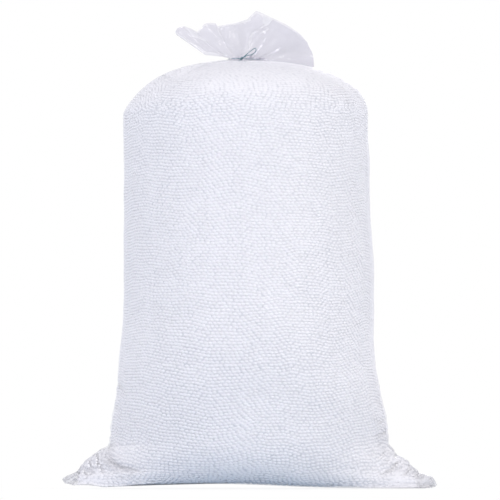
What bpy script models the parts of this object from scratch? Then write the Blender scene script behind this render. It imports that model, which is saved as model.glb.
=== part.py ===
"""A clear film bag of polystyrene beads, tied at the neck with a coated wire.

Metres, +Z up, the front of the bag towards -Y. The origin is on the floor,
under the middle of the bag.
"""

import math

import bmesh
import bpy
from mathutils import Vector

# The film bag
LAY_FLAT_WIDTH = 0.550  # width of the empty tube, pressed flat
FILM_THICKNESS = 0.0001
FOOT_HALF_WIDTH = 0.195  # half width just above the ears
FLARE_HEIGHT = 0.170  # over which the foot narrows to the round body
SHOULDER_HEIGHT = 0.521  # where the dome starts
SHOULDER_TAPER = 0.004  # how much smaller the radius is there
DOME_HEIGHT = 0.074
DOME_POWER = 2.4  # 2 would be an ellipse; more is fuller near the neck
LEAST_DEPTH = 0.5  # of the round radius, however wide the foot is made
FILM_COLOUR = (0.93, 0.94, 0.97)
FILM_ROUGHNESS = 0.12
FILM_ALPHA = 0.3
SHARP_ANGLE = math.radians(50)  # a crease from here on is shaded sharp

# The two bottom corners, which stand out as ears, and the base between them
EAR_REACH_LEFT = 0.258
EAR_REACH_RIGHT = 0.265
EAR_HEIGHT = 0.060
EAR_TIP_HEIGHT = 0.005
EAR_UNDERCUT = 0.026  # from the tip in to the edge that lies on the floor
EAR_SHARPNESS = 1.4  # added to the power of the section at the floor
FOLD_HEIGHT = 0.110  # where the side folds above the ears have faded
EMPTY_EAR = 0.034  # length of each tip that no bead reaches
EAR_NARROWS = 0.6  # of the way out, where the beads start to draw back
ROLL_HEIGHT = 0.045  # over which the film rolls in to the base
ROLL_DEPTH = 0.035

# The gathered neck
PLEATS = 15
NECK_OFFSET = -0.003  # the neck stands left of the middle
NECK_HALF_WIDTH = 0.0235
NECK_HALF_DEPTH = 0.018
NECK_RISE = 0.0015  # from the top of the dome up to the throat
THROAT_LENGTH = 0.004
PLEAT_DEPTH = 0.010
GATHER_HEIGHT = 0.003  # of the ridges on the dome, next to the neck

# The crumpled mouth above the tie, as it fans out from the throat. Each point
# of the rim is given from the middle of the throat, as (across, up).
RIM = (
    (-0.097, 0.039),
    (-0.090, 0.046),
    (-0.080, 0.045),
    (-0.067, 0.038),
    (-0.057, 0.049),
    (-0.041, 0.050),
    (-0.033, 0.046),
    (-0.012, 0.051),
    (0.004, 0.054),
    (0.016, 0.066),
    (0.038, 0.056),
    (0.059, 0.046),
    (0.078, 0.033),
    (0.090, 0.017),
    (0.095, -0.011),
)
BACK_RIM_DROP = 0.006  # how much lower the back of the mouth stands
MOUTH_HALF_DEPTH = 0.013
MOUTH_BLUNTNESS = 0.4  # less keeps the mouth open nearer to its two ends
FAN_FLARE = 1.7  # power of the rise; above 1 it spreads before it rises
FAN_FOLD = 0.007  # half height of the folds at the rim
FAN_SWAY = 0.010  # how far the two halves of the rim lean forward and back

# The beads and the tie
CLEARANCE = 0.0003
BEAD_COLOUR = (0.92, 0.92, 0.95)
BEAD_ROUGHNESS = 0.6
WIRE_COLOUR = (0.13, 0.33, 0.36)
WIRE_ROUGHNESS = 0.4
WIRE_DIAMETER = 0.0015
KNOT_ACROSS = -0.005  # the knot, from the middle of the throat
KNOT_AHEAD = 1.5 * WIRE_DIAMETER  # of the wire's way round the neck
KNOT_OPENING = 8 * WIRE_DIAMETER  # between the two leads, along the neck
TWIST_LENGTH = 0.0085
TWIST_TURNS = 1.5
TWIST_DIRECTION = (0.10, -0.86, 0.50)
LOOP_LENGTH = 0.019
LOOP_HALF_WIDTH = 0.0027
LOOP_DROP = 0.6  # how much narrower the eye is at its foot
LOOP_START = 0.06  # where the wire enters and ends, in turns of the eye
LOOP_END = 0.87
LOOP_DIRECTION = (0.76, -0.15, 0.63)
TAIL_LENGTH = 0.004
TAIL_DIRECTION = (-0.35, -0.30, -0.88)

# Where the film has a ring of points
FOOT_RINGS = (0.0, 0.005, 0.012, 0.022, 0.034, 0.047, 0.060, 0.085, 0.120)
BODY_RINGS = 6
DOME_SHARES = (0.04, 0.13, 0.27, 0.44, 0.62, 0.78, 0.90)
FAN_SHARES = (0.10, 0.25, 0.42, 0.60, 0.80, 1.0)
WIRE_STEP = 0.005
TWIST_STEP = 0.0006
BEND_STEPS = 6
LOOP_STEPS = 16

COLUMNS = 4 * PLEATS
BODY_RADIUS = LAY_FLAT_WIDTH / math.pi
SHOULDER_RADIUS = BODY_RADIUS - SHOULDER_TAPER
THROAT_BOTTOM = SHOULDER_HEIGHT + DOME_HEIGHT + NECK_RISE
THROAT_TOP = THROAT_BOTTOM + THROAT_LENGTH
THROAT_MIDDLE = THROAT_BOTTOM + THROAT_LENGTH / 2
WIRE_RADIUS = WIRE_DIAMETER / 2


def smooth(share):
    share = min(max(share, 0.0), 1.0)
    return share * share * (3 - 2 * share)


def between(low, high, share):
    return low + (high - low) * share


def angles():
    """One angle for each column, from +X round by +Y."""
    return [math.tau * i / COLUMNS for i in range(COLUMNS)]


def pleat(angle):
    """From 1 on the ridge of a pleat to -1 in its valley."""
    return math.cos(PLEATS * angle)


def body_half_width(height):
    """Of the filled tube, without the ears."""
    flare = smooth((height - EAR_HEIGHT) / FLARE_HEIGHT)
    taper = smooth((height - EAR_HEIGHT) / (SHOULDER_HEIGHT - EAR_HEIGHT))
    return between(FOOT_HALF_WIDTH, BODY_RADIUS, flare) - SHOULDER_TAPER * taper


def half_width(height, side):
    """The body, and below EAR_HEIGHT the ear on that side."""
    body = body_half_width(height)
    if height >= EAR_HEIGHT:
        return body
    reach = EAR_REACH_RIGHT if side > 0 else EAR_REACH_LEFT
    if height < EAR_TIP_HEIGHT:
        return reach - EAR_UNDERCUT * (1 - height / EAR_TIP_HEIGHT)
    share = (height - EAR_TIP_HEIGHT) / (EAR_HEIGHT - EAR_TIP_HEIGHT)
    return between(reach, body, share)


def half_depth(height):
    """The girth stays that of the tube, so a wide foot is less deep."""
    wide = body_half_width(height) + SHOULDER_TAPER * smooth(height / SHOULDER_HEIGHT)
    square = 2 * BODY_RADIUS**2 - wide**2
    depth = math.sqrt(max(square, (LEAST_DEPTH * BODY_RADIUS) ** 2))
    depth -= SHOULDER_TAPER * smooth(height / SHOULDER_HEIGHT)
    below = max(1 - height / ROLL_HEIGHT, 0.0)
    return depth - ROLL_DEPTH * (1 - math.sqrt(1 - min(below, 1.0) ** 2))


def body_ring(height):
    """A level section: round above, and pointed at both sides at the foot."""
    power = 1 + EAR_SHARPNESS * (1 - smooth(height / FOLD_HEIGHT))
    deep = half_depth(height)
    ring = []
    for angle in angles():
        across = math.cos(angle)
        along = math.sin(angle)
        wide = half_width(height, across)
        bulge = math.copysign(abs(along) ** power, along)
        ring.append(Vector((wide * across, deep * bulge, height)))
    return ring


def dome_ring(share):
    """From the shoulder (0) in to the foot of the neck (1), with its gathers."""
    wide = between(SHOULDER_RADIUS, NECK_HALF_WIDTH, share)
    deep = between(SHOULDER_RADIUS, NECK_HALF_DEPTH, share)
    fallen = (wide / SHOULDER_RADIUS) ** DOME_POWER
    height = SHOULDER_HEIGHT + DOME_HEIGHT * math.sqrt(1 - fallen)
    middle = NECK_OFFSET * smooth(share)
    lift = GATHER_HEIGHT * share**2
    return [
        Vector((
            middle + wide * math.cos(angle),
            deep * math.sin(angle),
            height + lift * pleat(angle),
        ))
        for angle in angles()
    ]


def neck_ring(height):
    """A pleated oval. The ridges of the pleats touch the full oval."""
    ring = []
    for angle in angles():
        inward = PLEAT_DEPTH * (1 - pleat(angle)) / 2
        ring.append(Vector((
            NECK_OFFSET + (NECK_HALF_WIDTH - inward) * math.cos(angle),
            (NECK_HALF_DEPTH - inward) * math.sin(angle),
            height,
        )))
    return ring


def along_outline(points, share):
    """The point at this share of the way along a row of (across, up) points."""
    place = share * (len(points) - 1)
    index = min(int(place), len(points) - 2)
    start = Vector(points[index])
    return start.lerp(Vector(points[index + 1]), place - index)


def fan_ring(share):
    """From the throat (0) out to the rim (1), pressed nearly flat."""
    throat = neck_ring(THROAT_TOP)
    ring = []
    for angle, start in zip(angles(), throat):
        front = angle > math.pi
        across = (angle - math.pi) / math.pi if front else 1 - angle / math.pi
        rim = along_outline(RIM, across)
        fullness = max(math.sin(math.pi * across), 0.0) ** MOUTH_BLUNTNESS
        drop = 0.0 if front else BACK_RIM_DROP * fullness
        depth = (MOUTH_HALF_DEPTH + FAN_FOLD * pleat(angle)) * fullness
        sway = FAN_SWAY * math.sin(math.tau * across)
        end = Vector((
            NECK_OFFSET + rim.x,
            sway - depth if front else sway + depth,
            THROAT_MIDDLE + rim.y - drop,
        ))
        place = start.lerp(end, share)
        place.z = between(start.z, end.z, share**FAN_FLARE)
        ring.append(place)
    return ring


def bag_rings():
    """Every ring of the film from the floor to the foot of the neck."""
    rings = [body_ring(height) for height in FOOT_RINGS]
    last = FOOT_RINGS[-1]
    for i in range(1, BODY_RINGS + 1):
        rings.append(body_ring(between(last, SHOULDER_HEIGHT, i / BODY_RINGS)))
    rings += [dome_ring(share) for share in DOME_SHARES]
    return rings


def loft(rings, cap_top):
    """A mesh of quads through the rings, closed at the floor."""
    mesh = bmesh.new()
    rows = [[mesh.verts.new(point) for point in ring] for ring in rings]
    for lower, upper in zip(rows, rows[1:]):
        for i in range(len(lower)):
            j = (i + 1) % len(lower)
            mesh.faces.new((lower[i], lower[j], upper[j], upper[i]))
    mesh.faces.new(list(reversed(rows[0])))
    if cap_top:
        middle = sum((v.co for v in rows[-1]), Vector()) / len(rows[-1])
        top = mesh.verts.new(middle)
        for i, vert in enumerate(rows[-1]):
            mesh.faces.new((vert, rows[-1][(i + 1) % len(rows[-1])], top))
    mesh.normal_update()
    return mesh


def material(name, colour, roughness, alpha=1.0):
    made = bpy.data.materials.new(name)
    made.use_nodes = True
    shader = made.node_tree.nodes["Principled BSDF"]
    shader.inputs["Base Color"].default_value = (*colour, 1.0)
    shader.inputs["Roughness"].default_value = roughness
    shader.inputs["Metallic"].default_value = 0.0
    shader.inputs["Alpha"].default_value = alpha
    return made


def add_mesh(name, mesh, surface):
    """Turns the bmesh into an object of the scene, shaded smooth."""
    data = bpy.data.meshes.new(name)
    mesh.to_mesh(data)
    mesh.free()
    data.shade_smooth()
    data.set_sharp_from_angle(angle=SHARP_ANGLE)
    data.materials.append(surface)
    made = bpy.data.objects.new(name, data)
    bpy.context.scene.collection.objects.link(made)
    return made


def make_film_bag():
    """One sheet with its mouth open at the top, given the film's thickness."""
    rings = bag_rings() + [neck_ring(THROAT_BOTTOM), neck_ring(THROAT_TOP)]
    rings += [fan_ring(share) for share in FAN_SHARES]
    surface = material("clear_film", FILM_COLOUR, FILM_ROUGHNESS, FILM_ALPHA)
    bag = add_mesh("film_bag", loft(rings, cap_top=False), surface)
    wall = bag.modifiers.new("wall", "SOLIDIFY")
    wall.thickness = FILM_THICKNESS
    wall.offset = -1
    wall.use_rim = True
    return bag


def pull_out_of_ear(point):
    """Draws a point of the fill back from the empty tip of its ear."""
    reach = half_width(point.z, point.x)
    extra = max(reach - body_half_width(point.z), 0.0)
    if extra == 0.0:
        return point.x
    share = abs(point.x) / reach
    pulled = EMPTY_EAR * extra / (EAR_REACH_RIGHT - FOOT_HALF_WIDTH)
    pulled *= smooth((share - EAR_NARROWS) / (1 - EAR_NARROWS))
    return point.x - math.copysign(pulled, point.x)


def make_bead_fill():
    """The beads as one solid, the clearance inside the film all round."""
    mesh = loft(bag_rings(), cap_top=True)
    inset = FILM_THICKNESS + CLEARANCE
    moved = [v.co - v.normal * inset * v.calc_shell_factor() for v in mesh.verts]
    for vert, place in zip(mesh.verts, moved):
        place.x = pull_out_of_ear(place)
        place.z = max(place.z, inset)
        vert.co = place
    surface = material("white_beads", BEAD_COLOUR, BEAD_ROUGHNESS)
    return add_mesh("bead_fill", mesh, surface)


def tie_oval(angle):
    """The wire's centre line round the ridges of the pleats."""
    out = CLEARANCE + WIRE_RADIUS
    return Vector((
        NECK_OFFSET + (NECK_HALF_WIDTH + out) * math.cos(angle),
        (NECK_HALF_DEPTH + out) * math.sin(angle),
        THROAT_MIDDLE,
    ))


def bend(start, leaving, end, arriving, steps):
    """Points between two ends of the wire, which leave and arrive as told."""
    reach = (end - start).length
    points = []
    for i in range(1, steps):
        t = i / steps
        points.append(
            start * (2 * t**3 - 3 * t**2 + 1)
            + leaving * reach * (t**3 - 2 * t**2 + t)
            + end * (3 * t**2 - 2 * t**3)
            + arriving * reach * (t**3 - t**2)
        )
    return points


def twist_strand(knot, axis, turned):
    """One of the two strands that wind round each other, from the knot out."""
    side = axis.cross(Vector((0, 0, 1))).normalized()
    other = axis.cross(side)
    radius = WIRE_RADIUS + CLEARANCE
    count = round(TWIST_LENGTH / TWIST_STEP)
    strand = []
    for i in range(count + 1):
        angle = turned + math.tau * TWIST_TURNS * i / count
        swing = side * math.cos(angle) + other * math.sin(angle)
        strand.append(knot + axis * TWIST_LENGTH * i / count + swing * radius)
    return strand


def open_loop(start, leaving):
    """The end of the wire, bent back on itself into a drop-shaped eye."""
    axis = Vector(LOOP_DIRECTION).normalized()
    sideways = axis.cross(Vector((0, 1, 0))).normalized()
    foot = start + (leaving + axis) * WIRE_DIAMETER
    eye = []
    for i in range(LOOP_STEPS + 1):
        angle = math.tau * between(LOOP_START, LOOP_END, i / LOOP_STEPS)
        out = LOOP_LENGTH * (1 - math.cos(angle)) / 2
        swing = LOOP_HALF_WIDTH * math.sin(angle)
        swing *= 1 - LOOP_DROP * math.cos(angle)
        eye.append(foot + axis * out + sideways * swing)
    first_way = (eye[1] - eye[0]).normalized()
    return bend(start, leaving, eye[0], first_way, BEND_STEPS) + eye


def wire_route():
    """From the tail, through the twist, round the neck and back to the loop."""
    axis = Vector(TWIST_DIRECTION).normalized()
    front = math.tau - math.acos(KNOT_ACROSS / NECK_HALF_WIDTH)
    knot = tie_oval(front) - Vector((0, KNOT_AHEAD, 0))
    first = twist_strand(knot, axis, math.pi)
    second = twist_strand(knot, axis, 0.0)
    tail = first[-1] + Vector(TAIL_DIRECTION).normalized() * TAIL_LENGTH
    spread = KNOT_OPENING / 2 / NECK_HALF_WIDTH
    count = round(math.tau * NECK_HALF_WIDTH / WIRE_STEP)
    ring = [
        tie_oval(front + between(spread, math.tau - spread, i / count))
        for i in range(count + 1)
    ]
    away = (ring[1] - ring[0]).normalized()
    back = (ring[-1] - ring[-2]).normalized()
    lead_out = bend(first[0], -axis, ring[0], away, BEND_STEPS)
    lead_in = bend(ring[-1], back, second[0], axis, BEND_STEPS)
    last_way = (second[-1] - second[-2]).normalized()
    return (
        [tail] + first[::-1] + lead_out + ring + lead_in + second
        + open_loop(second[-1], last_way)
    )


def make_wire_tie():
    route = wire_route()
    curve = bpy.data.curves.new("wire_tie", "CURVE")
    curve.dimensions = "3D"
    curve.bevel_depth = WIRE_RADIUS
    curve.bevel_resolution = 2
    curve.use_fill_caps = True
    spline = curve.splines.new("POLY")
    spline.points.add(len(route) - 1)
    for point, place in zip(spline.points, route):
        point.co = (*place, 1.0)
    spline.use_smooth = True
    curve.materials.append(material("coated_wire", WIRE_COLOUR, WIRE_ROUGHNESS))
    tie = bpy.data.objects.new("wire_tie", curve)
    bpy.context.scene.collection.objects.link(tie)
    return tie


def main():
    for leftover in list(bpy.data.objects):
        bpy.data.objects.remove(leftover)
    make_film_bag()
    make_bead_fill()
    make_wire_tie()


main()
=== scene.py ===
"""The looks of a clear film bag of polystyrene beads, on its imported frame.

Metres, +Z up, the front of the bag towards -Y. Angles go from +X round by +Y,
so the front is at three quarters of a turn. The shape of the bag repeats that
of the CAD solids and adds what they leave out: the true outline, the folds of
the film, each bead that shows and the crumpled mouth.
"""

import math

import bpy
import numpy as np
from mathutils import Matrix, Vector
from mathutils.kdtree import KDTree


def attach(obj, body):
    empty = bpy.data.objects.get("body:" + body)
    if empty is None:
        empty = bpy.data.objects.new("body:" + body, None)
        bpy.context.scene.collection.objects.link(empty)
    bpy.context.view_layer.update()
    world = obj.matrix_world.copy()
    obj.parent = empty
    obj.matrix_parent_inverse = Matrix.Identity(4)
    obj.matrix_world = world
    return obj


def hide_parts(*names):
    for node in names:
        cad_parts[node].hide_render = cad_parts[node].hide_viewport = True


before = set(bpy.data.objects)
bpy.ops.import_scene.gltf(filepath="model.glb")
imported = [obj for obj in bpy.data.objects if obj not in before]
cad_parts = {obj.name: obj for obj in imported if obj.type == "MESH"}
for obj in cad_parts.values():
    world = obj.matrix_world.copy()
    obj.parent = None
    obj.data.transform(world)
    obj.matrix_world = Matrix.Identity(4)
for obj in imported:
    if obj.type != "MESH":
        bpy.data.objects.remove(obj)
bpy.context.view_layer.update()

# The bag, with the names of the CAD part. What rolls and narrows at the foot has
# values of its own here, which follow the photo more closely.
LAY_FLAT_WIDTH = 0.550
FOOT_HALF_WIDTH = 0.195
FLARE_HEIGHT = 0.170
SHOULDER_HEIGHT = 0.521
SHOULDER_TAPER = 0.004
EAR_HEIGHT = 0.060
EAR_SHARPNESS = 0.6
FOLD_HEIGHT = 0.150
ROLL_HEIGHT = 0.075
ROLL_DEPTH = 0.037
NECK_OFFSET = -0.003
NECK_HALF_WIDTH = 0.0235
NECK_HALF_DEPTH = 0.018
THROAT_BOTTOM = 0.5965
THROAT_TOP = 0.6005
PLEATS = 15
PLEAT_DEPTH = 0.010
BODY_RADIUS = LAY_FLAT_WIDTH / math.pi
SHOULDER_RADIUS = BODY_RADIUS - SHOULDER_TAPER

# Half widths of the bag on its two sides, as (height, half width) in mm
LEFT_SIDE = (
    (0, 243), (5, 254), (10, 257.5), (14, 256), (18, 251), (22, 238), (27, 232.5),
    (31, 231), (39, 223), (47, 212.5), (52, 208), (60, 193.5), (64, 192.6),
    (88, 190), (104, 187.2), (121, 184.5), (138, 181.7), (154, 180.3), (171, 178.9),
    (188, 177.5), (204, 176), (221, 174.7), (240, 173.6), (321, 173.2), (371, 172.2),
    (454, 172.2), (488, 173), (521, 173),
)
RIGHT_SIDE = (
    (0, 246), (3, 262), (6, 264), (10, 261.5), (14, 258.5), (18, 253), (22, 244),
    (26, 234.5), (31, 230), (39, 223), (43, 217.5), (47, 210.5), (52, 206.5),
    (60, 199.5), (64, 198), (88, 196.4), (104, 193.4), (121, 189.5), (138, 185.6),
    (154, 182.4), (171, 179.4), (188, 177.8), (204, 176.2), (221, 175.8),
    (321, 175.6), (338, 174.4), (371, 171.8), (404, 170.4), (454, 170.2), (488, 169),
    (521, 169),
)
EAR_SPREAD = 2.5  # how much the ears keep to the sides
EAR_JOIN = 0.004  # above the ears, where the body between them takes its width
TIP_HEIGHT = 0.010  # below it the ears stand upright
ROLL_FADE = (0.55, 0.35)  # where the roll starts to fade to the side, and how long
BASE_LIFT = 0.0066  # of the base between the ears, where it is highest
BASE_LIFT_PLACE = -0.05
BASE_LIFT_WIDTH = 0.13
FLAT_PLACE = 0.0002  # of the base over the floor, where nothing lifts it
TIP_LIFT = 0.0035  # of the left tip
TIP_LIFT_PLACE = -0.195  # where it starts
TIP_LIFT_WIDTH = 0.025
TIP_LIFT_HEIGHT = 0.022  # over which it fades
DOME_RISE = 0.0755
DOME_POWERS = (2.6, 2.2)  # of the curve of the dome, on the left and right
DOME_ROOTS = (0.70, 0.44)
DOME_FRONT = (1.6, 0.36)  # the power and root at the front and back

# The beads that show through the film, wider than tall as the photo shows them
BEAD_GAP = 0.0067  # from bead to bead in a row
ROW_GAP = 0.0042
BEAD_WIDTH = 0.0073
BEAD_HEIGHT = 0.0043
BEAD_DEPTH = 0.0045
BEAD_SIDES = 7
BEAD_RISES = (math.radians(14), math.radians(50))  # of the rings of its dome
EAR_BEADS = 0.35  # how much wider beads are in the ears, to close up there
BEAD_REACH = (0.256, 0.235)  # how far out beads lie, on the right and left
BEAD_FLOOR = 0.0006  # their least height over the base
CORE_REACH = (0.254, 0.233)  # and how far out the surface behind them goes
EMPTY_DEPTH = 0.0065  # half depth of an ear where it is too thin for beads
EMPTY_PLACE = 0.185  # from where on it is that thin
FILM_GAP = 0.0004  # from the film in to the tops of the beads

# How beads that crowd each other move apart, along the film
CROWD_ROUNDS = 7
CROWD_NEIGHBOURS = 6
CROWD_REST = 0.95  # the distance that they keep, as a share of the gaps
CROWD_PUSH = 0.30  # how much of what is missing each round makes up

# How closely the surfaces are drawn
CORE_COLUMNS = 280
FILM_COLUMNS = 400
FILM_ROWS = 230
FOOT_WAY = 0.18  # up the front, with film rows closer together
FOOT_ROWS = 100
MOUTH_COLUMNS = 480
MOUTH_ROWS = 64
WIRE_SIDES = 10

CAMERA_DISTANCE = 8.0
CAMERA_HEIGHT = 0.03
CAMERA_X = 0.004
CAMERA_AIM = 0.3320  # the height that it looks at
SEEN_WIDTH = 0.6965  # across the picture, at the middle of the bag
LAMP_AIM = (0, 0, 0.33)


def smooth(share):
    share = np.clip(share, 0.0, 1.0)
    return share * share * (3 - 2 * share)


def between(low, high, share):
    return low + (high - low) * share


def by_side(across, right, left):
    return np.where(across > 0, right, left)


def waves(points, length, seed, count=14):
    """A smooth random field of unit strength, with waves of about that length."""
    rng = np.random.default_rng(seed)
    ways = rng.normal(size=(count, 3))
    ways /= np.linalg.norm(ways, axis=1)[:, None]
    ways *= (math.tau / length * rng.uniform(0.7, 1.3, count))[:, None]
    starts = rng.uniform(0, math.tau, count)
    total = np.zeros(points.shape[:-1])
    for way, start in zip(ways, starts):
        total += np.sin(points @ way + start)
    return total * math.sqrt(2 / count)


# The shape of the bag

def body_half_width(height):
    flare = smooth((height - EAR_HEIGHT) / FLARE_HEIGHT)
    taper = smooth((height - EAR_HEIGHT) / (SHOULDER_HEIGHT - EAR_HEIGHT))
    return between(FOOT_HALF_WIDTH, BODY_RADIUS, flare) - SHOULDER_TAPER * taper


def side_half_width(height, table):
    rows = np.array(table) / 1000
    return np.interp(height, rows[:, 0], rows[:, 1])


def base_lift(x, height=0.0):
    """How far the foot stands off the floor, in an arch and at the left tip."""
    arch = BASE_LIFT * np.exp(-(((x - BASE_LIFT_PLACE) / BASE_LIFT_WIDTH) ** 2))
    arch = arch * (1 - smooth(height / ROLL_HEIGHT))
    tip = TIP_LIFT * smooth((TIP_LIFT_PLACE - x) / TIP_LIFT_WIDTH)
    return arch + tip * (1 - smooth(height / TIP_LIFT_HEIGHT))


def half_depth(height, rolled):
    """Of the body. rolled is how far its foot is rolled in, from 0 to 1."""
    taper = SHOULDER_TAPER * smooth(height / SHOULDER_HEIGHT)
    wide = body_half_width(height) + taper
    depth = np.sqrt(2 * BODY_RADIUS**2 - wide**2) - taper
    below = np.clip(1 - height / ROLL_HEIGHT, 0, 1)
    return depth - rolled * ROLL_DEPTH * (1 - np.sqrt(1 - below**2))


def half_width(across, height):
    """Of the body, on the side that across points to."""
    left = side_half_width(height, LEFT_SIDE)
    right = side_half_width(height, RIGHT_SIDE)
    above = np.maximum(height, EAR_HEIGHT + EAR_JOIN)
    inner = by_side(
        across, side_half_width(above, RIGHT_SIDE), side_half_width(above, LEFT_SIDE)
    )
    return between(inner, by_side(across, right, left), np.abs(across) ** EAR_SPREAD)


def body_point(theta, height):
    across, along = np.cos(theta), np.sin(theta)
    wide = half_width(across, height)
    tip = half_width(across, np.maximum(height, TIP_HEIGHT))
    power = 1 + EAR_SHARPNESS * (1 - smooth(height / FOLD_HEIGHT))
    bulge = np.sign(along) * np.clip(1 - (across * wide / tip) ** 2, 0, 1) ** (power / 2)
    lift = base_lift(wide * across, height)
    begun, long = ROLL_FADE
    depth = half_depth(height, 1 - smooth((np.abs(across) - begun) / long))
    return np.stack([wide * across, depth * bulge, height + lift], axis=-1)


def dome_curve(out, across):
    """The height of the dome at a share of its radius, towards that side."""
    right, front = (across + 1) / 2, 1 - across**2
    power = between(between(*DOME_POWERS, right), DOME_FRONT[0], front)
    root = between(between(*DOME_ROOTS, right), DOME_FRONT[1], front)
    return SHOULDER_HEIGHT + DOME_RISE * np.clip(1 - np.abs(out) ** power, 0, 1) ** root


def dome_point(theta, share):
    """From the shoulder (0) in to the neck (1)."""
    across, along = np.cos(theta), np.sin(theta)
    side = by_side(across, RIGHT_SIDE[-1][1], LEFT_SIDE[-1][1]) / 1000
    wide = between(side, NECK_HALF_WIDTH, share)
    deep = between(SHOULDER_RADIUS, NECK_HALF_DEPTH, share)
    fallen = between(SHOULDER_RADIUS, NECK_HALF_WIDTH, share) / SHOULDER_RADIUS
    height = dome_curve(fallen, across)
    middle = NECK_OFFSET * smooth(share)
    return np.stack([middle + wide * across, deep * along, height], axis=-1)


def dome_height(x, y):
    """The height of the dome over a point on the ground."""
    side = by_side(x, RIGHT_SIDE[-1][1], LEFT_SIDE[-1][1]) / 1000
    out = np.hypot((x - NECK_OFFSET) / side, y / SHOULDER_RADIUS)
    across = (x - NECK_OFFSET) / np.maximum(np.hypot(x - NECK_OFFSET, y), 1e-6)
    return dome_curve(out, across)


def meridian_table():
    """The way up the front, as (distance, height on the body, share of the dome)."""
    heights = np.linspace(0, SHOULDER_HEIGHT, 800)
    shares = np.linspace(0, 1, 500)[1:] ** 2
    height = np.concatenate([heights, np.full(len(shares), SHOULDER_HEIGHT)])
    share = np.concatenate([np.zeros(len(heights)), shares])
    front = np.full(len(height), 1.5 * math.pi)
    points = np.where(
        (share > 0)[:, None], dome_point(front, share), body_point(front, height)
    )
    steps = np.linalg.norm(np.diff(points, axis=0), axis=1)
    return np.concatenate([[0], np.cumsum(steps)]), height, share


MERIDIAN = meridian_table()
MERIDIAN_LENGTH = MERIDIAN[0][-1]


def bare_film(theta, way):
    """Points of the film before its folds. way is the distance up the front."""
    height = np.interp(way, MERIDIAN[0], MERIDIAN[1])
    share = np.interp(way, MERIDIAN[0], MERIDIAN[2])
    return np.where(
        (share > 0)[..., None], dome_point(theta, share), body_point(theta, height)
    )


def film_tangents(theta, way):
    small = 0.0008
    along = bare_film(theta + small, way) - bare_film(theta - small, way)
    up = bare_film(theta, np.minimum(way + small, MERIDIAN_LENGTH))
    up = up - bare_film(theta, np.maximum(way - small, 0))
    return along / (2 * small), up / (2 * small)


def film_normals(theta, way):
    """Unit normals that point out, and sideways where the film has a fold."""
    along, up = film_tangents(theta, way)
    out = np.cross(along, up)
    long = np.linalg.norm(out, axis=-1, keepdims=True)
    sideways = np.stack([np.sign(np.cos(theta)), 0 * theta, 0 * theta], axis=-1)
    return np.where(long > 1e-5, out / np.maximum(long, 1e-9), sideways)


# Folds of the film that show at the front, as (depth, width, points). The points
# are (across, up) in mm.
CREASES = (
    (1.5, 3.4, ((-194, 61), (-191, 49), (-187.6, 40), (-181, 33.3), (-169, 28.6),
                (-154, 25), (-143, 23.7), (-128, 23))),
    (1.2, 2.6, ((-199, 54), (-195.5, 44), (-190, 37), (-176, 29), (-161, 23))),
    (1.4, 2.8, ((-208, 50), (-208.7, 44), (-207.3, 37.3), (-204, 30.6), (-199, 22),
                (-190, 14))),
    (1.2, 3.0, ((-217, 41), (-218, 34), (-215, 26), (-208, 18))),
    (1.1, 2.4, ((-227, 33), (-227, 26), (-222, 18), (-214, 12))),
    (0.9, 2.4, ((-181, 146), (-175, 140), (-168, 135))),
    (0.7, 2.2, ((-186, 117), (-179, 111), (-171, 108))),
    (1.1, 3.2, ((199, 60), (203.6, 54.6), (207, 47), (207, 38.6), (204, 32), (197, 27),
                (188.9, 22.7), (176, 19))),
    (0.9, 2.6, ((208, 47.3), (201, 44), (195.6, 38.6), (191.7, 33), (185, 26))),
    (1.1, 3.0, ((213, 42.5), (213.5, 38.6), (208.9, 33.3), (203.6, 27.5), (193, 21.3),
                (180, 15))),
    (1.3, 3.0, ((226, 33), (226, 27), (220, 20), (210, 14))),
    (1.0, 2.6, ((238, 24), (236, 18), (228, 12))),
    (0.9, 3.0, ((197.6, 60.6), (192.9, 57.2), (190.3, 53.2), (187.6, 47), (183, 38))),
    (1.1, 2.6, ((196.9, 66.6), (191.7, 65.2), (185, 62.6), (178, 59))),
    (1.0, 2.8, ((195.6, 77.8), (189, 76), (182, 73.5), (175, 68))),
    (0.9, 2.6, ((194, 97), (185.5, 92), (175, 88))),
    (0.8, 2.4, ((189, 128), (181, 121), (171, 117))),
    (0.7, 2.4, ((187, 150), (178, 143), (170, 141))),
    (0.4, 1.6, ((-23.8, 593.5), (-40.4, 590.8), (-58.5, 585.2), (-79.4, 574),
                (-93.3, 561.6), (-100, 550))),
    (0.4, 1.6, ((50, 594), (59.6, 593.5), (73.5, 586.6), (87.4, 575.5), (98.5, 561.6),
                (108.3, 547.7), (114, 536))),
    (0.7, 1.5, ((132, 553), (137, 541), (139.5, 531), (140, 520))),
    (0.7, 1.5, ((-123, 577), (-113, 570), (-105, 561), (-99, 551))),
    (0.8, 2.0, ((-9, 596), (-11, 594), (-12, 592))),
    (0.8, 2.0, ((-7, 596), (-4, 594), (-2, 592))),
)


# Folds of the mouth above the tie
MOUTH_CREASES = (
    (1.2, 1.6, ((6, 630), (12, 637), (20, 642), (30, 646))),
    (1.0, 1.5, ((22, 642), (26, 637), (30, 630))),
    (0.6, 2.0, ((54, 620), (57, 612), (61, 605), (66, 599))),
    (0.5, 2.4, ((-90, 637), (-78, 628), (-66, 619), (-52, 611))),
    (0.4, 2.4, ((72, 630), (77, 619), (80, 606))),
)


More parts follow.
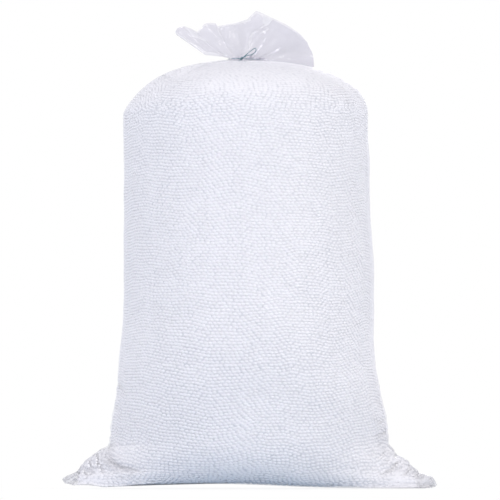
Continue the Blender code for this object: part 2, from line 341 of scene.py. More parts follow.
def crease_depth(points, creases):
    """How far the creases push the film in at these points."""
    flat = points[..., [0, 2]] * 1000
    back = points[..., 1] > 0
    flat = np.where(back[..., None], flat * (-1, 1), flat)
    depth = np.zeros(flat.shape[:-1])
    for deep, wide, line in creases:
        corners = np.array(line, dtype=float)
        lengths = np.linalg.norm(np.diff(corners, axis=0), axis=1)
        begun = np.concatenate([[0], np.cumsum(lengths)])
        best = np.full(flat.shape[:-1], 1e9)
        place = np.zeros(flat.shape[:-1])
        for start, end, length, before in zip(corners, corners[1:], lengths, begun):
            way = (end - start) / length
            along = np.clip((flat - start) @ way, 0, length)
            gap = np.linalg.norm(flat - start - along[..., None] * way, axis=-1)
            place = np.where(gap < best, (before + along) / begun[-1], place)
            best = np.minimum(gap, best)
        fade = smooth((1 - place) / 0.5) * smooth((place + 0.15) / 0.2)
        depth += deep * fade * np.exp(-((best / wide) ** 2))
        depth -= 0.45 * deep * fade * np.exp(-(((best - 2.1 * wide) / wide) ** 2))
    return depth / 1000


def relief(points, way):
    """How far the film stands out from its bare shape."""
    calm = smooth(way / 0.05) * smooth((MERIDIAN_LENGTH - way - 0.03) / 0.16)
    swell = 0.0005 * waves(points, 0.17, 3) + 0.0003 * waves(points, 0.065, 4)
    side = np.exp(-((points[..., 1] / 0.05) ** 2)) * np.exp(
        -(((points[..., 2] - 0.11) / 0.05) ** 2)
    )
    stretched = points * (0.25, 1.0, 1.0)
    pucker = 0.0005 * side * waves(stretched, 0.016, 8)
    return swell * calm + pucker - crease_depth(points, CREASES)


def film(theta, way):
    """Points of the film with its folds, and the normals of its bare shape."""
    points = bare_film(theta, way)
    out = film_normals(theta, way)
    return points + out * relief(points, way)[..., None], out


# Meshes from arrays

def mesh_object(name, points, quads, triangles, material):
    """An object with smooth faces, which rides on the bag."""
    data = bpy.data.meshes.new(name)
    data.vertices.add(len(points))
    data.vertices.foreach_set("co", np.asarray(points, dtype=np.float32).ravel())
    quads = np.asarray(quads, dtype=np.int32).reshape(-1, 4)
    triangles = np.asarray(triangles, dtype=np.int32).reshape(-1, 3)
    corners = np.concatenate([quads.ravel(), triangles.ravel()])
    data.loops.add(len(corners))
    data.loops.foreach_set("vertex_index", corners)
    starts = np.concatenate([
        4 * np.arange(len(quads)),
        4 * len(quads) + 3 * np.arange(len(triangles)),
    ])
    data.polygons.add(len(starts))
    data.polygons.foreach_set("loop_start", starts.astype(np.int32))
    data.update(calc_edges=True)
    data.validate()
    data.shade_smooth()
    data.materials.append(material)
    made = bpy.data.objects.new(name, data)
    bpy.context.scene.collection.objects.link(made)
    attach(made, "root")
    return made


def ring_quads(rows, columns):
    """Quads between rows of points that close into rings, facing out."""
    row = np.arange(rows - 1)[:, None] * columns
    here = np.arange(columns)[None, :]
    after = (here + 1) % columns
    return np.stack(
        [row + here, row + after, row + columns + after, row + columns + here], axis=-1
    ).reshape(-1, 4)


# The beads

def row_wave(theta, way):
    """How far a row of beads wanders up and down, and hangs lower in front."""
    ring = np.stack([0.175 * np.cos(theta), 0.175 * np.sin(theta), 0.3 * way], axis=-1)
    low = smooth(way / 0.05) * (1 - smooth((way - 0.12) / 0.16))
    hang = 0.022 * (np.abs(np.cos(theta)) ** 3 - 0.4) * low
    fade = smooth(way / 0.03) * smooth((MERIDIAN_LENGTH - way) / 0.03)
    wander = 0.0030 * waves(ring, 0.11, 21) + 0.0007 * waves(ring, 0.035, 22)
    return hang + wander * fade


def bead_places():
    """Rows of beads, with more between them where the film runs out to the ears."""
    rng = np.random.default_rng(5)
    theta = np.linspace(0, math.tau, 2401)
    thetas, ways, stagger = [], [], 0.0
    for row in np.arange(0.6, MERIDIAN_LENGTH / ROW_GAP, 0.5):
        base = np.full(len(theta), row * ROW_GAP)
        way = np.clip(base + row_wave(theta, base), 0.001, MERIDIAN_LENGTH - 0.001)
        line = bare_film(theta, way)
        upper = bare_film(theta, np.clip(way + ROW_GAP / 2, 0, MERIDIAN_LENGTH))
        lower = bare_film(theta, np.clip(way - ROW_GAP / 2, 0, MERIDIAN_LENGTH))
        tall = np.linalg.norm(upper - lower, axis=-1) / ROW_GAP
        fill = np.minimum(tall, 1) if row % 1 > 0.5 else np.clip(tall - 1.1, 0, 1)
        steps = np.linalg.norm(np.diff(line, axis=0), axis=-1)
        total = np.concatenate([[0], np.cumsum(steps * (fill[1:] + fill[:-1]) / 2)])
        count = round(total[-1] / BEAD_GAP)
        if count < 3:
            continue
        stagger += rng.uniform(0.38, 0.62)
        free = 0.20 + 0.30 * smooth((row * ROW_GAP + 0.15 - MERIDIAN_LENGTH) / 0.05)
        wanted = np.arange(count) + stagger + free * rng.uniform(-1, 1, count)
        wanted = (wanted % count) * total[-1] / count
        angle = np.interp(wanted, total, theta)
        thetas.append(angle)
        ways.append(np.interp(angle, theta, way) + rng.uniform(-0.05, 0.05, count) * ROW_GAP)
    return np.concatenate(thetas), np.concatenate(ways)


def spread_out(theta, way):
    """Moves beads that crowd each other apart, along the film."""
    for _ in range(CROWD_ROUNDS):
        points = bare_film(theta, way)
        along, up = film_tangents(theta, way)
        along_long = np.maximum(np.linalg.norm(along, axis=-1), 0.01)
        up_long = np.maximum(np.linalg.norm(up, axis=-1), 0.1)
        tree = KDTree(len(points))
        for i, point in enumerate(points):
            tree.insert(point, i)
        tree.balance()
        near = np.array([
            [n[1] for n in tree.find_n(p, CROWD_NEIGHBOURS + 1)][1:] for p in points
        ])
        apart = points[:, None, :] - points[near]
        sideways = np.einsum("nkc,nc->nk", apart, along) / along_long[:, None]
        upward = np.einsum("nkc,nc->nk", apart, up) / up_long[:, None]
        sideways, upward = sideways / BEAD_GAP, upward / ROW_GAP
        distance = np.maximum(np.hypot(sideways, upward), 0.01)
        press = np.clip(CROWD_REST - distance, 0, None) * CROWD_PUSH / distance
        loose = 1 - smooth(way / 0.10)
        aside = between(0.4, 1.0, loose) * (sideways * press).sum(1)
        theta = theta + aside * BEAD_GAP / along_long
        way = way + between(0.05, 1.0, loose) * (upward * press).sum(1) * ROW_GAP / up_long
        way = np.clip(way, 0.001, MERIDIAN_LENGTH - 0.001)
    return theta, way


def bead_depth(points):
    """Less on the dome, in the ears and at the sides, where the photo shows less."""
    height, out = points[..., 2], np.abs(points[..., 0])
    top = 0.82 * smooth((height - 0.527) / 0.026) * (1 - smooth((out - 0.05) / 0.06))
    dome = 0.58 * smooth((height - 0.545) / 0.040)
    ear = 0.68 * smooth((out - 0.190) / 0.018)
    side = smooth((out - 0.09) / 0.07) * (0.12 + 0.16 * smooth((height - 0.38) / 0.12))
    return BEAD_DEPTH * (1 - dome) * (1 - ear) * (1 - top) * (1 - side)


def bead_domes(theta, points, out, seed):
    """The outer half of each bead, as rings of corners under a top corner."""
    rng = np.random.default_rng(seed)
    count = len(points)
    size = rng.uniform(0.92, 1.05, count)[:, None]
    size *= 1 + EAR_BEADS * smooth((np.abs(points[:, :1]) - 0.188) / 0.020)
    deep = size * bead_depth(points)[:, None] / 2
    centre = points - out * (FILM_GAP + deep)
    side = np.stack([-np.sin(theta), np.cos(theta), 0 * theta], axis=-1)
    side -= out * (side * out).sum(-1, keepdims=True)
    side /= np.linalg.norm(side, axis=-1, keepdims=True)
    other = np.cross(out, side)
    wider = size * rng.uniform(0.88, 1.08, count)[:, None]
    side, other = side * wider * BEAD_WIDTH / 2, other * size * BEAD_HEIGHT / 2
    turn = rng.uniform(0, math.tau, count)[:, None] + (
        math.tau * np.arange(BEAD_SIDES) / BEAD_SIDES
    )
    ring = (
        np.cos(turn)[..., None] * side[:, None, :]
        + np.sin(turn)[..., None] * other[:, None, :]
    )
    parts = []
    for rise in BEAD_RISES:
        lift = out * deep * math.sin(rise)
        parts.append(centre[:, None, :] + ring * math.cos(rise) + lift[:, None, :])
    top = (centre + out * deep)[:, None, :]
    corners = np.concatenate([*parts, top], axis=1)
    floor = base_lift(corners[..., 0]) + BEAD_FLOOR
    corners[..., 2] = np.maximum(corners[..., 2], floor)
    each = corners.shape[1]
    here = np.arange(BEAD_SIDES)
    after = (here + 1) % BEAD_SIDES
    quads = np.stack([here, after, BEAD_SIDES + after, BEAD_SIDES + here], axis=-1)
    caps = np.stack([BEAD_SIDES + here, BEAD_SIDES + after, 0 * here + each - 1], axis=-1)
    first = (np.arange(count) * each)[:, None, None]
    return corners.reshape(-1, 3), quads[None] + first, caps[None] + first


def make_beads(material):
    theta, way = spread_out(*bead_places())
    points, out = film(theta, way)
    bare = bare_film(theta, way)
    away = np.abs(bare[:, 0])
    thin = (np.abs(bare[:, 1]) < EMPTY_DEPTH) & (away > EMPTY_PLACE)
    low = (bare[:, 2] < base_lift(bare[:, 0]) + 0.0015) & (away > 0.12)
    kept = (away < by_side(bare[:, 0], *BEAD_REACH)) & ~thin & ~low
    theta, points, out, way = theta[kept], points[kept], out[kept], way[kept]
    names = ("beads_foot", "beads_waist", "beads_chest", "beads_dome")
    groups = np.array_split(np.argsort(way, kind="stable"), len(names))
    for number, (name, group) in enumerate(zip(names, groups)):
        corners, quads, caps = bead_domes(
            theta[group], points[group], out[group], 30 + number
        )
        made = mesh_object(name, corners, quads, caps, material)
        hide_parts("bead_fill")


def make_core(material):
    """What shows between the beads: the ones behind, as a bumpy surface."""
    way = np.concatenate([
        np.linspace(0, 0.09, 60, endpoint=False), np.linspace(0.09, MERIDIAN_LENGTH - 0.004, 90)
    ])
    rows, columns = len(way), CORE_COLUMNS
    theta = np.broadcast_to(math.tau * np.arange(columns) / columns, (rows, columns))
    way = way[:, None] + 0 * theta
    points, out = film(theta, way)
    points = points - out * (FILM_GAP + 0.42 * bead_depth(points))[..., None]
    points[..., 1] = np.where(points[..., 1] * out[..., 1] < 0, 0, points[..., 1])
    points[..., 0] = np.clip(points[..., 0], -CORE_REACH[1], CORE_REACH[0])
    points[..., 2] = np.maximum(points[..., 2], base_lift(points[..., 0]) + 0.001)
    flat = points.reshape(-1, 3)
    flat = np.concatenate([flat, [(0, 0, base_lift(0) + 0.002)], [points[-1].mean(axis=0)]])
    here = np.arange(columns)
    after = (here + 1) % columns
    bottom = np.stack([after, here, 0 * here + len(flat) - 2], axis=-1)
    last = (rows - 1) * columns
    top = np.stack([last + here, last + after, 0 * here + len(flat) - 1], axis=-1)
    made = mesh_object(
        "beads_behind", flat, ring_quads(rows, columns),
        np.concatenate([bottom, top]), material,
    )
    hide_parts("bead_fill")


# The film

def wide_fold(theta):
    return np.cos(8 * theta + 1.0)


def fine_fold(theta):
    return np.cos(23 * theta + 2.2)


def pleat_inset(theta):
    """How far the film is drawn in from the oval of the neck."""
    fold = np.cos(PLEATS * theta) + 0.5 * wide_fold(theta) + 0.4 * fine_fold(theta)
    return PLEAT_DEPTH * (1 - fold / 1.9) / 2


def neck_point(theta, height):
    inward = pleat_inset(theta)
    return np.stack([
        NECK_OFFSET + (NECK_HALF_WIDTH - inward) * np.cos(theta),
        (NECK_HALF_DEPTH - inward) * np.sin(theta),
        height + 0 * theta,
    ], axis=-1)


def gathers(theta, points, out):
    """Folds that run out over the dome from the neck."""
    from_neck = np.hypot(points[..., 0] - NECK_OFFSET, points[..., 1])
    near = np.clip(1 - (from_neck - 0.02) / 0.075, 0, 1)
    fold = np.cos(PLEATS * theta + 1.2 * np.cos(2 * theta)) + 0.6 * wide_fold(theta)
    fold = fold + 0.7 * fine_fold(theta) * near
    return points + out * (0.0008 * near**3 * fold)[..., None]


def crinkle(theta, points):
    """The empty tips of the ears, crumpled."""
    reach = by_side(points[..., 0], 0.232, 0.220)
    tip = smooth((np.abs(points[..., 0]) - reach) / 0.025)
    sharp = 0.5 - np.abs(waves(points * (0.6, 0.3, 1.4), 0.020, 41))
    moved = points.copy()
    moved[..., 1] += tip * (0.0030 * sharp + 0.0015 * np.tanh(8 * np.sin(theta)))
    moved[..., 2] += 0.0006 * tip * waves(points, 0.018, 43)
    moved[..., 2] = np.maximum(moved[..., 2], FLAT_PLACE)
    return moved


# What counts as a fold for the material: the empty tips, and creases by their depth
TIP_PLACE = 0.226
TIP_FADE = 0.016
TIP_SHINE = 0.6
FOLD_SHINE = 700  # for each metre of depth


def mark_folds(made, folds, first):
    """Keeps for the material how deep the folds are, in metres, from that corner on."""
    count = len(made.data.vertices)
    places = np.empty(3 * count, dtype=np.float32)
    made.data.vertices.foreach_get("co", places)
    tips = smooth((np.abs(places[0::3]) - TIP_PLACE) / TIP_FADE)
    amount = (tips * TIP_SHINE).astype(np.float32)
    amount[first:first + folds.size] += folds.ravel() * FOLD_SHINE
    amount = np.clip(amount, 0, 1)
    made.data.attributes.new("fold", "FLOAT", "POINT").data.foreach_set("value", amount)


def make_film(material):
    columns, rows = FILM_COLUMNS, FILM_ROWS
    theta = np.broadcast_to(math.tau * np.arange(columns) / columns, (rows, columns))
    low = np.linspace(0, FOOT_WAY, FOOT_ROWS, endpoint=False)
    high = np.linspace(FOOT_WAY, MERIDIAN_LENGTH, rows - FOOT_ROWS)
    way = np.concatenate([low, high])[:, None] + 0 * theta
    points, out = film(theta, way)
    folds = np.abs(crease_depth(points, CREASES))
    points = crinkle(theta, gathers(theta, points, out))
    angles = theta[0]
    neck = [neck_point(angles, h) for h in (THROAT_BOTTOM, THROAT_BOTTOM + 0.002, THROAT_TOP)]
    points = np.concatenate([points, np.array(neck)])
    rows = len(points)
    base = [points[0] * (k, k, 0) for k in (0.99, 0.96, 0.9, 0.8, 0.7, 0.6, 0.45, 0.3, 0.15)]
    for ring in base:
        ring[:, 2] = base_lift(ring[:, 0]) + FLAT_PLACE
    flat = np.concatenate([np.array(base[::-1]), points]).reshape(-1, 3)
    flat = np.concatenate([flat, [(0, 0, base_lift(0) + FLAT_PLACE)]])
    here = np.arange(columns)
    bottom = np.stack([(here + 1) % columns, here, 0 * here + len(flat) - 1], axis=-1)
    made = mesh_object(
        "film_skin", flat, ring_quads(rows + len(base), columns), bottom, material
    )
    mark_folds(made, folds, len(base) * columns)
    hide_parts("film_bag")


# The edge of the mouth above the tie, from its left tip to the right, in mm
RIM = (
    (-26.5, 598), (-99, 633), (-100.5, 637), (-98, 641.5), (-93, 644.3), (-87, 644.6),
    (-78, 641), (-70, 636.4), (-66, 640), (-60.5, 647), (-55, 649.2), (-43.5, 649),
    (-42, 645), (-32, 646.4), (-15, 649.2), (0, 652.8), (6, 659.2), (12.4, 664.8),
    (17.5, 663.4), (35, 655), (55.5, 644.5), (74, 632.4), (82, 623.5), (84, 621.5),
    (85.5, 617), (90.5, 608.5), (92.8, 599), (93.3, 587), (88, 586.2), (20, 598),
)


def rim_point(across):
    """The edge of the mouth at a share of its length, as (x, z)."""
    corners = np.array(RIM[1:-1], dtype=float) / 1000
    steps = np.linalg.norm(np.diff(corners, axis=0), axis=1)
    place = np.concatenate([[0], np.cumsum(steps)]) / steps.sum()
    return np.interp(across, place, corners[:, 0]), np.interp(across, place, corners[:, 1])


def mouth_sheet(theta, share, front):
    """One side of the crumpled mouth, from the throat (0) to the edge (1)."""
    across = (theta - math.pi) / math.pi if front else 1 - theta / math.pi
    start = neck_point(theta, THROAT_TOP)
    edge_x, edge_z = rim_point(across)
    full = np.clip(np.sin(math.pi * across), 0, 1) ** 0.5
    skirt = smooth((full**2 - 0.35) / 0.4) * (1 - share) ** 8
    start = start + (start - (NECK_OFFSET, 0, THROAT_TOP)) * (0.07 * skirt)[..., None]
    start[..., 2] -= 0.0045 * skirt
    rise = between(1.45, 1.7, smooth((across - 0.6) / 0.4))
    left = np.interp(share, (0, 0.49, 1), (0, 0.126, 1))
    climb = between(left, share**rise, smooth(across / 0.22))
    x = between(start[..., 0], edge_x, share)
    z = between(start[..., 2], edge_z - (0 if front else 0.001) * full, climb)
    seed = 60 if front else 80
    flat = np.stack([x, 0 * x, z], axis=-1)
    sweep = np.stack([across * 0.30, share * 0.05, 0 * across], axis=-1)
    fold = 0.7 * waves(sweep, 0.075, seed) + 0.35 * waves(sweep, 0.030, seed + 1)
    fine = np.abs(waves(flat, 0.050, seed + 2)) - 0.6
    crease = crease_depth(flat, MOUTH_CREASES)
    small = np.abs(waves(flat, 0.011, seed + 3)) - 0.6
    crumpled = np.exp(-(((x - 0.021) / 0.014) ** 2) - ((z - 0.640) / 0.008) ** 2)
    out = share * (0.010 + 0.005 * fold) + share * 0.0022 * fine
    out = (out + share * small * (0.0002 + 0.0015 * crumpled)) * full - crease
    sway = 0.010 * share * np.sin(math.tau * across)
    y = start[..., 1] * (1 - share) ** 1.5 + sway + (-out if front else out)
    hang = 0.009 * smooth((across - 0.78) / 0.22) * np.sin(math.pi * share ** 0.8)
    z = np.maximum(z - hang, dome_height(x, y) + 0.0005)
    return np.stack([x, y, z, np.abs(crease)], axis=-1)


def make_mouth(material):
    columns, rows = MOUTH_COLUMNS, MOUTH_ROWS
    theta = np.broadcast_to(math.tau * np.arange(columns) / columns, (rows, columns))
    share = np.linspace(0, 1, rows)[:, None] + 0 * theta
    front = theta >= math.pi
    points = np.where(
        front[..., None],
        mouth_sheet(np.maximum(theta, math.pi), share, True),
        mouth_sheet(np.minimum(theta, math.pi), share, False),
    )
    points, folds = points[..., :3], points[..., 3]
    made = mesh_object(
        "film_mouth", points.reshape(-1, 3), ring_quads(rows, columns), [],
        material,
    )
    mark_folds(made, folds, 0)
    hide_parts("film_bag")


# The tie

WIRE_RADIUS = 0.0005
SUNK_RADIUS = 0.00030  # of the wire that the gathered film half covers
SUNK_PART = slice(20, 210)  # its points, from the knot round the neck
KNOT = (-0.0088, -0.0208, 0.5968)
TAIL = ((-0.0118, -0.0225, 0.5938), (-0.0100, -0.0222, 0.5953))
LOOP = (
    (-0.0046, -0.0226, 0.6002), (-0.0012, -0.0236, 0.6031), (0.0022, -0.0245, 0.6060),
    (0.0055, -0.0255, 0.6086), (0.0088, -0.0264, 0.6109), (0.0106, -0.0268, 0.6117),
    (0.0119, -0.0269, 0.6113), (0.0124, -0.0268, 0.6097), (0.0120, -0.0264, 0.6078),
    (0.0107, -0.0258, 0.6059), (0.0071, -0.0249, 0.6034), (0.0022, -0.0240, 0.6023),
    (-0.0013, -0.0233, 0.6016), (-0.0036, -0.0228, 0.6000),
)


def smooth_line(corners, steps):
    """A Catmull-Rom curve through the corners."""
    corners = np.array(corners)
    padded = np.concatenate([
        [2 * corners[0] - corners[1]], corners, [2 * corners[-1] - corners[-2]]
    ])
    line = []
    for a, b, c, d in zip(padded, padded[1:], padded[2:], padded[3:]):
        for t in np.arange(steps) / steps:
            line.append(0.5 * (
                2 * b + (c - a) * t + (2 * a - 5 * b + 4 * c - d) * t**2
                + (3 * b - a - 3 * c + d) * t**3
            ))
    return np.array([*line, corners[-1]])


def tube(line, radii, sides):
    """A round tube along a line, closed at its ends."""
    ways = np.gradient(line, axis=0)
    ways /= np.linalg.norm(ways, axis=1)[:, None]
    side = np.cross(ways[0], (0.3, 0.5, 0.8))
    rings = []
    for point, way, radius in zip(line, ways, radii):
        side = side - way * (side @ way)
        side /= np.linalg.norm(side)
        other = np.cross(way, side)
        turn = math.tau * np.arange(sides)[:, None] / sides
        rings.append(point + radius * (np.cos(turn) * side + np.sin(turn) * other))
    flat = np.concatenate([*rings, [line[0] - ways[0] * radii[0] / 2]])
    flat = np.concatenate([flat, [line[-1] + ways[-1] * radii[-1] / 2]])
    here = np.arange(sides)
    after = (here + 1) % sides
    last = (len(line) - 1) * sides
    first_cap = np.stack([after, here, 0 * here + len(flat) - 2], axis=-1)
    last_cap = np.stack([last + here, last + after, 0 * here + len(flat) - 1], axis=-1)
    return flat, ring_quads(len(line), sides), np.concatenate([first_cap, last_cap])


def make_tie(material):
    """Once round the neck from the knot, out to the loop, back and round the knot."""
    begun = math.radians(256)
    turn = begun - np.linspace(0.12, math.tau - 0.12, 40)
    sunk = 0.0016 * smooth((-np.sin(turn) - 0.15) / 0.3)
    around = np.stack([
        NECK_OFFSET + (NECK_HALF_WIDTH + 0.0002 - sunk) * np.cos(turn),
        (NECK_HALF_DEPTH + 0.0002 - sunk) * np.sin(turn),
        0.5978 + 0.0010 * np.cos(turn - math.radians(205)),
    ], axis=-1)
    whole = [*TAIL, KNOT, *around, (-0.0075, -0.0206, 0.5972), *LOOP]
    turns = np.linspace(0, 1.7 * math.tau, 12)
    along = np.linspace(0.0006, 0.0034, 12)
    start, way = np.array((-0.0094, -0.0214, 0.5960)), np.array((0.62, -0.18, 0.76))
    side = np.cross(way, (0, 1, 0))
    other = np.cross(way, side)
    wrap = start + along[::-1, None] * way + 0.0011 * (
        np.cos(turns)[:, None] * side + np.sin(turns)[:, None] * other
    )
    line = smooth_line([*whole, *wrap], 5)
    radii = np.full(len(line), WIRE_RADIUS)
    radii[SUNK_PART] = SUNK_RADIUS
    flat, quads, caps = tube(line, radii, WIRE_SIDES)
    made = mesh_object("tie_wire", flat, quads, caps, material)
    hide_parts("wire_tie")


# Materials

def new_material(name):
    made = bpy.data.materials.new(name)
    made.use_nodes = True
    tree = made.node_tree
    return made, tree, tree.nodes["Principled BSDF"], tree.nodes["Material Output"]


def add_node(tree, kind, **settings):
    node = tree.nodes.new(kind)
    for name, value in settings.items():
        setattr(node, name, value)
    return node


def add_noise(tree, place, scale, detail=2):
    noise = add_node(tree, "ShaderNodeTexNoise")
    noise.inputs["Scale"].default_value = scale
    noise.inputs["Detail"].default_value = detail
    tree.links.new(place.outputs["Object"], noise.inputs["Vector"])
    return noise.outputs["Fac"]


def add_cells(tree, place, scale):
    cells = add_node(tree, "ShaderNodeTexVoronoi")
    cells.inputs["Scale"].default_value = scale
    tree.links.new(place.outputs["Object"], cells.inputs["Vector"])
    return cells.outputs["Distance"]


def add_colours(tree, source, first, second, places=(0.0, 1.0)):
    """A colour that goes from the first to the second while the source rises."""
    ramp = add_node(tree, "ShaderNodeValToRGB")
    for element, place, colour in zip(ramp.color_ramp.elements, places, (first, second)):
        element.position = place
        element.color = (*colour, 1)
    tree.links.new(source, ramp.inputs["Fac"])
    return ramp.outputs["Color"]


def add_bump(tree, height, strength, distance, invert=False):
    bump = add_node(tree, "ShaderNodeBump", invert=invert)
    bump.inputs["Strength"].default_value = strength
    bump.inputs["Distance"].default_value = distance
    tree.links.new(height, bump.inputs["Height"])
    return bump.outputs["Normal"]


def ramp_value(tree, source, low, high, to_low, to_high):
    """A value that goes from one level to another while the source rises."""
    node = add_node(tree, "ShaderNodeMapRange", interpolation_type="SMOOTHSTEP")
    for name, value in (
        ("From Min", low), ("From Max", high), ("To Min", to_low), ("To Max", to_high)
    ):
        node.inputs[name].default_value = value
    tree.links.new(source, node.inputs["Value"])
    return node.outputs["Result"]


def add_values(tree, first, second, operation="ADD"):
    node = add_node(tree, "ShaderNodeMath", operation=operation)
    tree.links.new(first, node.inputs[0])
    if isinstance(second, float):
        node.inputs[1].default_value = second
    else:
        tree.links.new(second, node.inputs[1])
    return node.outputs["Value"]


# Each material's colours, from one end of its pattern to the other
BEAD_COLOURS = ((0.920, 0.914, 0.938), (0.940, 0.933, 0.957))
# The core goes darker towards the gaps between the beads behind: painted shade
CORE_COLOURS_WITH_GAP_SHADE = ((0.905, 0.897, 0.925), (0.70, 0.705, 0.745))
WIRE_COLOURS = ((0.05, 0.13, 0.16), (0.10, 0.24, 0.28))
# Painted shade: near the bag the floor throws back a darker blue-grey, to shade the underside
# of the bag
FLOOR_SHADE_COLOURS = ((0.375, 0.515, 0.66), (0.70, 0.75, 0.81))  # near the bag, and far off

# How each part of the film looks: its haze, and what is added to that at a slant, in
# folds, on the dome and at the neck, with a limit; the colour that it gives to what is
# behind it, and of its haze; roughness and shine, where it is flat and in folds; and
# the scale and strength of its grain.
SKIN_LOOK = {
    "haze": 0.07, "slant": 0.05, "fold": 0.06, "top": 0.10, "neck": 0.0, "most": 0.20,
    "tint": (0.99, 0.99, 1.0), "milk": (0.90, 0.90, 0.935),
    "roughness": (0.27, 0.16), "shine": (0.16, 1.0), "grain": 90, "strength": 0.12,
}
MOUTH_LOOK = {
    "haze": 0.04, "slant": 0.10, "fold": 0.0, "top": 0.17, "neck": 0.07, "most": 1.0,
    "tint": (0.932, 0.927, 0.956), "milk": (0.62, 0.61, 0.70),
    "roughness": (0.17, 0.08), "shine": (1.0, 1.8), "grain": 40, "strength": 0.15,
}
TIP_TINT = (0.935, 0.935, 0.955)  # of the empty left tip
TIP_TINTED = (-0.244, -0.230)  # where that tint is full, and where it has faded
TIP_HAZE = (0.232, 0.246, 0.0, 0.20)  # where the haze of both tips starts and is full
GRAIN_HEIGHT = 0.001


def bead_material():
    """White foam, with a faint mottle and the fine cells of its skin."""
    made, tree, shader, _ = new_material("white_beads")
    shader.inputs["Roughness"].default_value = 0.5
    shader.inputs["Specular IOR Level"].default_value = 0.35
    shader.inputs["Coat Weight"].default_value = 0.15
    shader.inputs["Coat Roughness"].default_value = 0.25
    place = add_node(tree, "ShaderNodeTexCoord")
    tone = add_noise(tree, place, 140)
    colour = add_colours(tree, tone, *BEAD_COLOURS, (0.3, 0.7))
    skin = add_bump(tree, add_cells(tree, place, 1500), 0.12, 0.0002)
    tree.links.new(colour, shader.inputs["Base Color"])
    tree.links.new(skin, shader.inputs["Normal"])
    return made


def core_material():
    """The beads behind, as cells whose colour darkens towards their edges: painted shade in the
    gaps between the beads.
    """
    made, tree, shader, _ = new_material("beads_behind")
    shader.inputs["Roughness"].default_value = 0.7
    place = add_node(tree, "ShaderNodeTexCoord")
    cells = add_cells(tree, place, 1 / BEAD_DEPTH)
    bumpy = add_bump(tree, cells, 1.0, 0.002, True)
    # Base colour darkens towards the cell edges: painted shade in the gaps between beads
    tree.links.new(add_colours(tree, cells, *CORE_COLOURS_WITH_GAP_SHADE), shader.inputs["Base Color"])
    tree.links.new(bumpy, shader.inputs["Normal"])
    return made


def haze_amount(tree, place, look):
    """Milkier in patches, at a slant, at the empty tips and near the neck."""
    fog = add_noise(tree, place, 22, 4)
    patches = ramp_value(tree, fog, 0.3, 0.7, 0.9 * look["haze"], 1.12 * look["haze"])
    slant = add_node(tree, "ShaderNodeLayerWeight")
    slant.inputs["Blend"].default_value = 0.25
    slanting = add_values(tree, slant.outputs["Facing"], look["slant"], "MULTIPLY")
    total = add_values(tree, patches, slanting)
    axes = add_node(tree, "ShaderNodeSeparateXYZ")
    tree.links.new(place.outputs["Object"], axes.inputs["Vector"])
    reach = add_values(tree, axes.outputs["X"], 0.0, "ABSOLUTE")
    total = add_values(tree, total, ramp_value(tree, reach, 0.185, 0.25, 0.0, 0.10))
    folds = add_node(tree, "ShaderNodeAttribute", attribute_name="fold")
    folded = add_values(tree, folds.outputs["Fac"], look["fold"], "MULTIPLY")
    total = add_values(tree, total, folded)
    dome = ramp_value(tree, axes.outputs["Z"], 0.525, 0.588, 0.0, look["top"])
    total = add_values(tree, total, dome)
    total = add_values(tree, total, ramp_value(tree, axes.outputs["Z"], 0.0, 0.05, 0.08, 0.0))
    tied = add_values(
        tree, ramp_value(tree, axes.outputs["Z"], 0.599, 0.606, look["neck"], 0.0),
        ramp_value(tree, reach, 0.020, 0.032, 1.0, 0.0), "MULTIPLY",
    )
    total = add_values(tree, total, tied)
    total = add_values(tree, total, ramp_value(tree, axes.outputs["Z"], 0.05, 0.5, 0.0, 0.04))
    total = add_values(tree, total, ramp_value(tree, axes.outputs["X"], -0.1, 0.17, 0.0, 0.05))
    total = add_values(tree, total, look["most"], "MINIMUM")
    return add_values(tree, total, ramp_value(tree, reach, *TIP_HAZE))


def film_material(name, look):
    """Clear film: see-through, a little milky, and glossy at a slant."""
    made, tree, shader, output = new_material(name)
    shader.inputs["Base Color"].default_value = (*look["milk"], 1)
    shader.inputs["Roughness"].default_value = 0.6
    shader.inputs["Specular IOR Level"].default_value = 0.2
    clear = add_node(tree, "ShaderNodeBsdfTransparent")
    gloss = add_node(tree, "ShaderNodeBsdfAnisotropic")
    gloss.inputs["Color"].default_value = (1, 1, 1, 1)
    folds = add_node(tree, "ShaderNodeAttribute", attribute_name="fold")
    place = add_node(tree, "ShaderNodeTexCoord")
    grain = add_noise(tree, place, look["grain"], 3)
    bumpy = add_bump(tree, grain, look["strength"], GRAIN_HEIGHT)
    axes = add_node(tree, "ShaderNodeSeparateXYZ")
    body = add_node(tree, "ShaderNodeMixShader")
    whole = add_node(tree, "ShaderNodeMixShader")
    fresnel = add_node(tree, "ShaderNodeFresnel")
    fresnel.inputs["IOR"].default_value = 1.45
    link = tree.links.new
    rough = ramp_value(tree, folds.outputs["Fac"], 0.1, 0.8, *look["roughness"])
    link(rough, gloss.inputs["Roughness"])
    link(place.outputs["Object"], axes.inputs["Vector"])
    tip = ramp_value(tree, axes.outputs["X"], *TIP_TINTED, 1.0, 0.0)
    link(add_colours(tree, tip, look["tint"], TIP_TINT), clear.inputs["Color"])
    link(haze_amount(tree, place, look), body.inputs["Fac"])
    link(clear.outputs["BSDF"], body.inputs[1])
    link(shader.outputs["BSDF"], body.inputs[2])
    for node in (shader, gloss, fresnel):
        link(bumpy, node.inputs["Normal"])
    shine = ramp_value(tree, folds.outputs["Fac"], 0.1, 0.8, *look["shine"])
    link(add_values(tree, fresnel.outputs["Fac"], shine, "MULTIPLY"), whole.inputs["Fac"])
    link(body.outputs["Shader"], whole.inputs[1])
    link(gloss.outputs["BSDF"], whole.inputs[2])
    link(whole.outputs["Shader"], output.inputs["Surface"])
    return made


def wire_material():
    made, tree, shader, _ = new_material("coated_wire")
    shader.inputs["Roughness"].default_value = 0.38
    shader.inputs["Coat Weight"].default_value = 0.3
    place = add_node(tree, "ShaderNodeTexCoord")
    tone = add_noise(tree, place, 180)
    tree.links.new(add_colours(tree, tone, *WIRE_COLOURS), shader.inputs["Base Color"])
    tree.links.new(add_bump(tree, tone, 0.3, 0.0002), shader.inputs["Normal"])
    return made


# The floor, the lights and the camera

